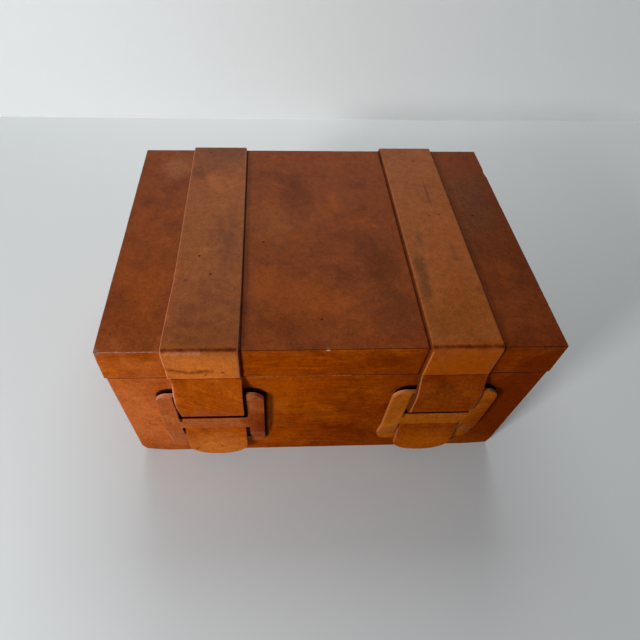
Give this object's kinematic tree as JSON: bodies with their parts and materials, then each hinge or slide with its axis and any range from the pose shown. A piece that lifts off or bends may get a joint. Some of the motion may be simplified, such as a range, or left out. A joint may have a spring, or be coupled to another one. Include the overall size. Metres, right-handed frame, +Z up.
{
  "type": "leather box",
  "caption": "Leather-covered wooden keepsake box with a hinged lid, straps over it and slotted leather buckle plates on the front.",
  "frame": {"origin": "middle of the underside, on the surface that the box stands on", "axes": "+Z up, front with the buckle plates towards -Y, +X to the right seen from the front"},
  "size_m": [0.254, 0.1975, 0.1309],
  "materials": {
    "cover_leather": "semi-gloss saddle leather with a mottled patina and worn edges",
    "strap_leather": "semi-gloss strap leather, lighter than the cover, with burnished edges",
    "buckle_leather": "semi-gloss thick leather with burnished edges",
    "underside_leather": "matt dark leather",
    "lining_suede": "soft napped suede",
    "carcass_wood": "plain sanded wood",
    "hinge_brass": "aged brass",
    "pin_steel": "drawn steel wire"
  },
  "bodies": {
    "base": {"base_front_board": "carcass_wood", "base_back_board": "carcass_wood", "base_left_board": "carcass_wood", "base_right_board": "carcass_wood", "base_floor_board": "carcass_wood", "base_leather_cover": "cover_leather", "base_underside": "underside_leather", "base_lining_front": "lining_suede", "base_lining_back": "lining_suede", "base_lining_left": "lining_suede", "base_lining_right": "lining_suede", "base_floor_pad": "lining_suede", "strap_tail_left": "strap_leather", "strap_tail_right": "strap_leather", "buckle_plate_left": "buckle_leather", "buckle_plate_right": "buckle_leather", "back_strap_left": "strap_leather", "back_strap_right": "strap_leather", "hinge_leaf_base_left": "hinge_brass", "hinge_leaf_base_right": "hinge_brass", "hinge_pin_left": "pin_steel", "hinge_pin_right": "pin_steel", "hinge_screws_base": "hinge_brass"},
    "lid": {"lid_top_board": "carcass_wood", "lid_front_rail": "carcass_wood", "lid_back_rail": "carcass_wood", "lid_left_rail": "carcass_wood", "lid_right_rail": "carcass_wood", "lid_leather_cover": "cover_leather", "lid_lining_front": "lining_suede", "lid_lining_back": "lining_suede", "lid_lining_left": "lining_suede", "lid_lining_right": "lining_suede", "lid_pad": "lining_suede", "lid_strap_left": "strap_leather", "lid_strap_right": "strap_leather", "hinge_leaf_lid_left": "hinge_brass", "hinge_leaf_lid_right": "hinge_brass", "hinge_screws_lid": "hinge_brass"}
  },
  "joints": [
    {"name": "lid_hinge", "type": "hinge", "parent": "base", "child": "lid", "pos_m": [0, 0.0947, 0.104], "axis": [-1, 0, 0], "range_deg": [0, 105]}
  ]
}
